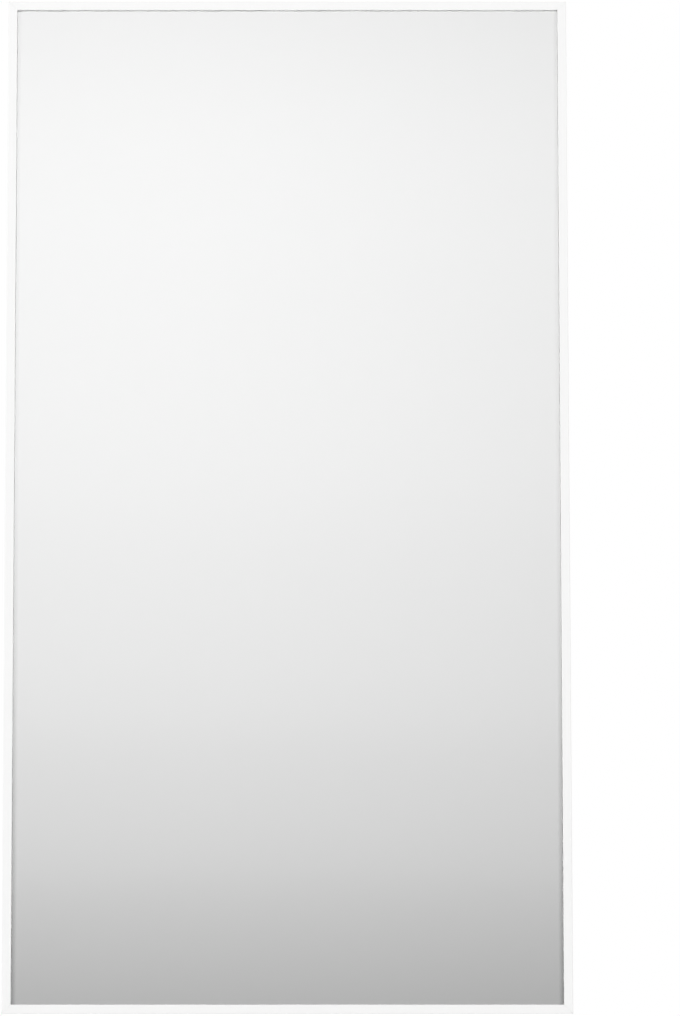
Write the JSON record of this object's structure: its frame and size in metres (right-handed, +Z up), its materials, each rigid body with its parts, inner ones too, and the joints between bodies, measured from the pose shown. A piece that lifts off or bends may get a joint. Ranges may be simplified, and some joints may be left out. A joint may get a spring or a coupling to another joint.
{
  "type": "infrared panel heater",
  "caption": "Flat wall-hung infrared panel heater, portrait: mirror-glass front in a slim white frame, sheet-metal back with keyhole brackets and a control box.",
  "frame": {"origin": "on the wall plane, at the centre of the four keyhole entry holes, which is also behind the centre of the panel", "axes": "+Z up, +X to the right as seen from the room, +Y from the room into the wall; the front faces -Y"},
  "size_m": [0.5, 0.046, 0.9],
  "materials": {
    "frame_paint": "satin",
    "mirror_glass": "gloss",
    "mirror_silver": "polished",
    "white_rubber": "matte",
    "black_rubber": "matte",
    "heating_film": "satin",
    "carbon": "matte",
    "copper": "satin",
    "foil": "gloss",
    "insulation": "matte",
    "galvanised_sheet": "satin",
    "cast_zinc": "satin",
    "zinc_plate": "satin",
    "bracket_steel": "satin",
    "rivet_aluminium": "satin",
    "box_plastic": "satin",
    "circuit_board": "satin",
    "module_black": "satin",
    "relay_blue": "satin",
    "radio_can": "satin",
    "fuse_ceramic": "satin",
    "capacitor_can": "gloss",
    "terminal_green": "satin",
    "lamp_clear": "gloss",
    "sensor_bead": "gloss",
    "button_grey": "satin",
    "switch_black": "satin",
    "switch_rocker": "gloss",
    "brass": "satin",
    "tin_plate": "satin",
    "cutout_body": "satin",
    "gland_plastic": "satin",
    "wire_brown": "satin",
    "wire_blue": "satin",
    "wire_green": "satin",
    "wire_white": "satin"
  },
  "bodies": {
    "heater": {"board_screws": "zinc_plate", "box_rivets": "rivet_aluminium", "busbar_left": "copper", "busbar_link_left": "wire_white", "busbar_link_right": "wire_white", "busbar_right": "copper", "capacitor": "capacitor_can", "carbon_tracks": "carbon", "control_box_base": "box_plastic", "control_box_lid": "box_plastic", "controller_board": "circuit_board", "corner_key_screws": "zinc_plate", "corner_keys": "cast_zinc", "earth_ring": "tin_plate", "earth_screw": "brass", "edge_gasket": "white_rubber", "frame_bar_bottom": "frame_paint", "frame_bar_left": "frame_paint", "frame_bar_right": "frame_paint", "frame_bar_top": "frame_paint", "fuse": "fuse_ceramic", "gland_body": "gland_plastic", "gland_locknut": "gland_plastic", "gland_nut": "gland_plastic", "gland_seal": "black_rubber", "heating_film": "heating_film", "heating_relay": "relay_blue", "insulation_board": "insulation", "lead_earth": "wire_green", "lead_live": "wire_brown", "lead_neutral": "wire_blue", "lid_screws": "zinc_plate", "light_pipe": "lamp_clear", "mirror_backing": "mirror_silver", "mirror_glass": "mirror_glass", "pairing_switch": "module_black", "power_module": "module_black", "radio_module": "radio_can", "rear_cover": "galvanised_sheet", "rear_cover_screws": "zinc_plate", "reflector_foil": "foil", "rocker_housing": "switch_black", "rocker_tabs": "brass", "room_sensor": "sensor_bead", "status_lamp": "lamp_clear", "switch_lead_in": "wire_brown", "switch_lead_out": "wire_brown", "terminal_block": "terminal_green", "terminal_screws": "zinc_plate", "thermal_cutout_left": "cutout_body", "thermal_cutout_right": "cutout_body", "wall_bracket_bottom_left": "bracket_steel", "wall_bracket_bottom_right": "bracket_steel", "wall_bracket_screws": "zinc_plate", "wall_bracket_top_left": "bracket_steel", "wall_bracket_top_right": "bracket_steel", "wire_grommet": "black_rubber"},
    "rocker": {"rocker_button": "switch_rocker"},
    "pairing_button": {"pairing_button": "button_grey"}
  },
  "joints": [
    {"name": "rocker_tilt", "type": "hinge", "parent": "heater", "child": "rocker", "pos_m": [0.07, -0.0142, -0.422], "axis": [0, 1, 0], "range_deg": [0, 16]},
    {"name": "pairing_button_press", "type": "slide", "parent": "heater", "child": "pairing_button", "axis": [0, 0, 1], "range_m": [0, 0.001], "stiffness_N_per_m": 300, "springref_m": -0.0005}
  ]
}
